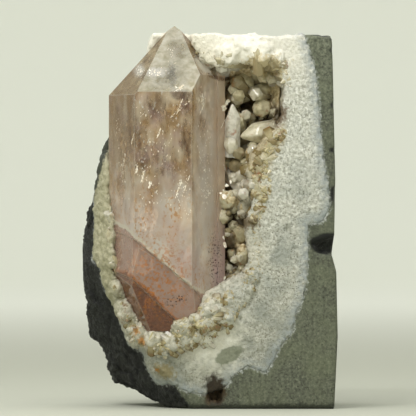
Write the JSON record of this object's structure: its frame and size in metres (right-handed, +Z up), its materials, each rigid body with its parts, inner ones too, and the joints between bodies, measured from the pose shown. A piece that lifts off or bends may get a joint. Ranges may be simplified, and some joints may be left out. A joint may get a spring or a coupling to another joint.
{
  "type": "skeletal amethyst crystal on matrix",
  "caption": "Thick upright amethyst crystal with stepped growth at its foot, in an open pocket of white quartz, in a sawn block of basalt.",
  "frame": {"origin": "centre of the specimen's outline, on the surface that it rests on", "axes": "+Z up along the crystal, -Y out of the sawn front face that carries the crystal, +X to the right seen from the front"},
  "size_m": [0.0737, 0.0505, 0.11],
  "materials": {
    "basalt": "sawn matt at the front, right and foot, rough broken rock elsewhere",
    "white_quartz": "granular, sawn matt, with coarse glassy crystals round the amethyst's foot",
    "smoky_quartz": "glassy stubby points",
    "amethyst": "clear, glassy natural faces"
  },
  "bodies": {
    "root": {"basalt_matrix": "basalt", "quartz_lining": "white_quartz", "vug_crystals": "smoky_quartz", "amethyst_crystal": "amethyst"}
  },
  "joints": []
}
